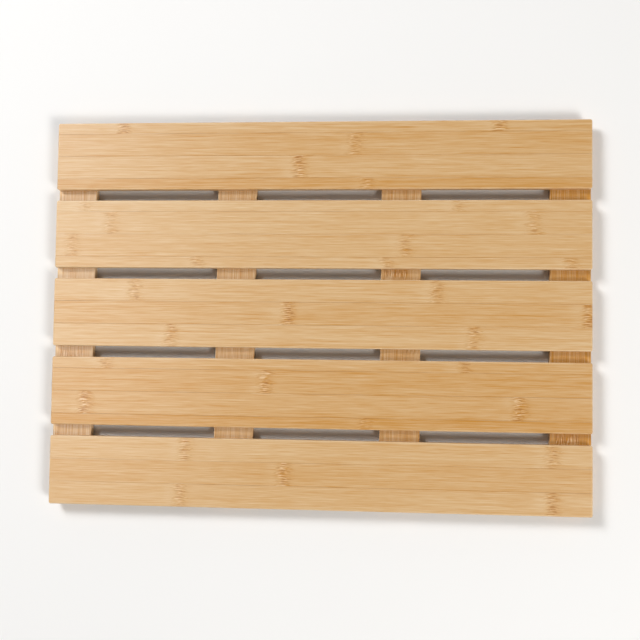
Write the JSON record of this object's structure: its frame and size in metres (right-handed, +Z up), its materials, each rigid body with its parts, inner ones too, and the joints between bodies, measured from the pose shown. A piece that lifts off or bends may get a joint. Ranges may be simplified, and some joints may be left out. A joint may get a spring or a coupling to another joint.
{
  "type": "slatted bath mat",
  "caption": "Slatted bamboo bath mat: wide glued-up slats over cross battens, screwed from below, with open drain gaps and rubber pads on the floor side.",
  "frame": {"origin": "on the floor plane, under the middle of the mat (bottom of the rubber pads)", "axes": "+X along the slats, +Y from the front edge to the back edge across the slats, +Z up out of the standing surface"},
  "size_m": [0.54, 0.389, 0.0178],
  "materials": {
    "bamboo": "sanded flat-pressed bamboo under a thin satin lacquer",
    "bamboo_batten": "planed bamboo, a little darker, under a thin satin lacquer",
    "screw_steel": "plain stainless wood screw, lightly scuffed in the recess",
    "pad_rubber": "matt black moulded rubber"
  },
  "bodies": {
    "root": {"slat_1_strip_1": "bamboo", "slat_1_strip_2": "bamboo", "slat_1_strip_3": "bamboo", "slat_1_strip_4": "bamboo", "slat_2_strip_1": "bamboo", "slat_2_strip_2": "bamboo", "slat_2_strip_3": "bamboo", "slat_2_strip_4": "bamboo", "slat_3_strip_1": "bamboo", "slat_3_strip_2": "bamboo", "slat_3_strip_3": "bamboo", "slat_4_strip_1": "bamboo", "slat_4_strip_2": "bamboo", "slat_4_strip_3": "bamboo", "slat_4_strip_4": "bamboo", "slat_5_strip_1": "bamboo", "slat_5_strip_2": "bamboo", "slat_5_strip_3": "bamboo", "batten_1_strip_1": "bamboo_batten", "batten_1_strip_2": "bamboo_batten", "batten_1_strip_3": "bamboo_batten", "batten_1_screws": "screw_steel", "rubber_pad_1_back": "pad_rubber", "rubber_pad_1_front": "pad_rubber", "batten_2_strip_1": "bamboo_batten", "batten_2_strip_2": "bamboo_batten", "batten_2_strip_3": "bamboo_batten", "batten_2_screws": "screw_steel", "rubber_pad_2_back": "pad_rubber", "rubber_pad_2_front": "pad_rubber", "batten_3_strip_1": "bamboo_batten", "batten_3_strip_2": "bamboo_batten", "batten_3_strip_3": "bamboo_batten", "batten_3_screws": "screw_steel", "rubber_pad_3_back": "pad_rubber", "rubber_pad_3_front": "pad_rubber", "batten_4_strip_1": "bamboo_batten", "batten_4_strip_2": "bamboo_batten", "batten_4_strip_3": "bamboo_batten", "batten_4_screws": "screw_steel", "rubber_pad_4_back": "pad_rubber", "rubber_pad_4_front": "pad_rubber"}
  },
  "joints": []
}
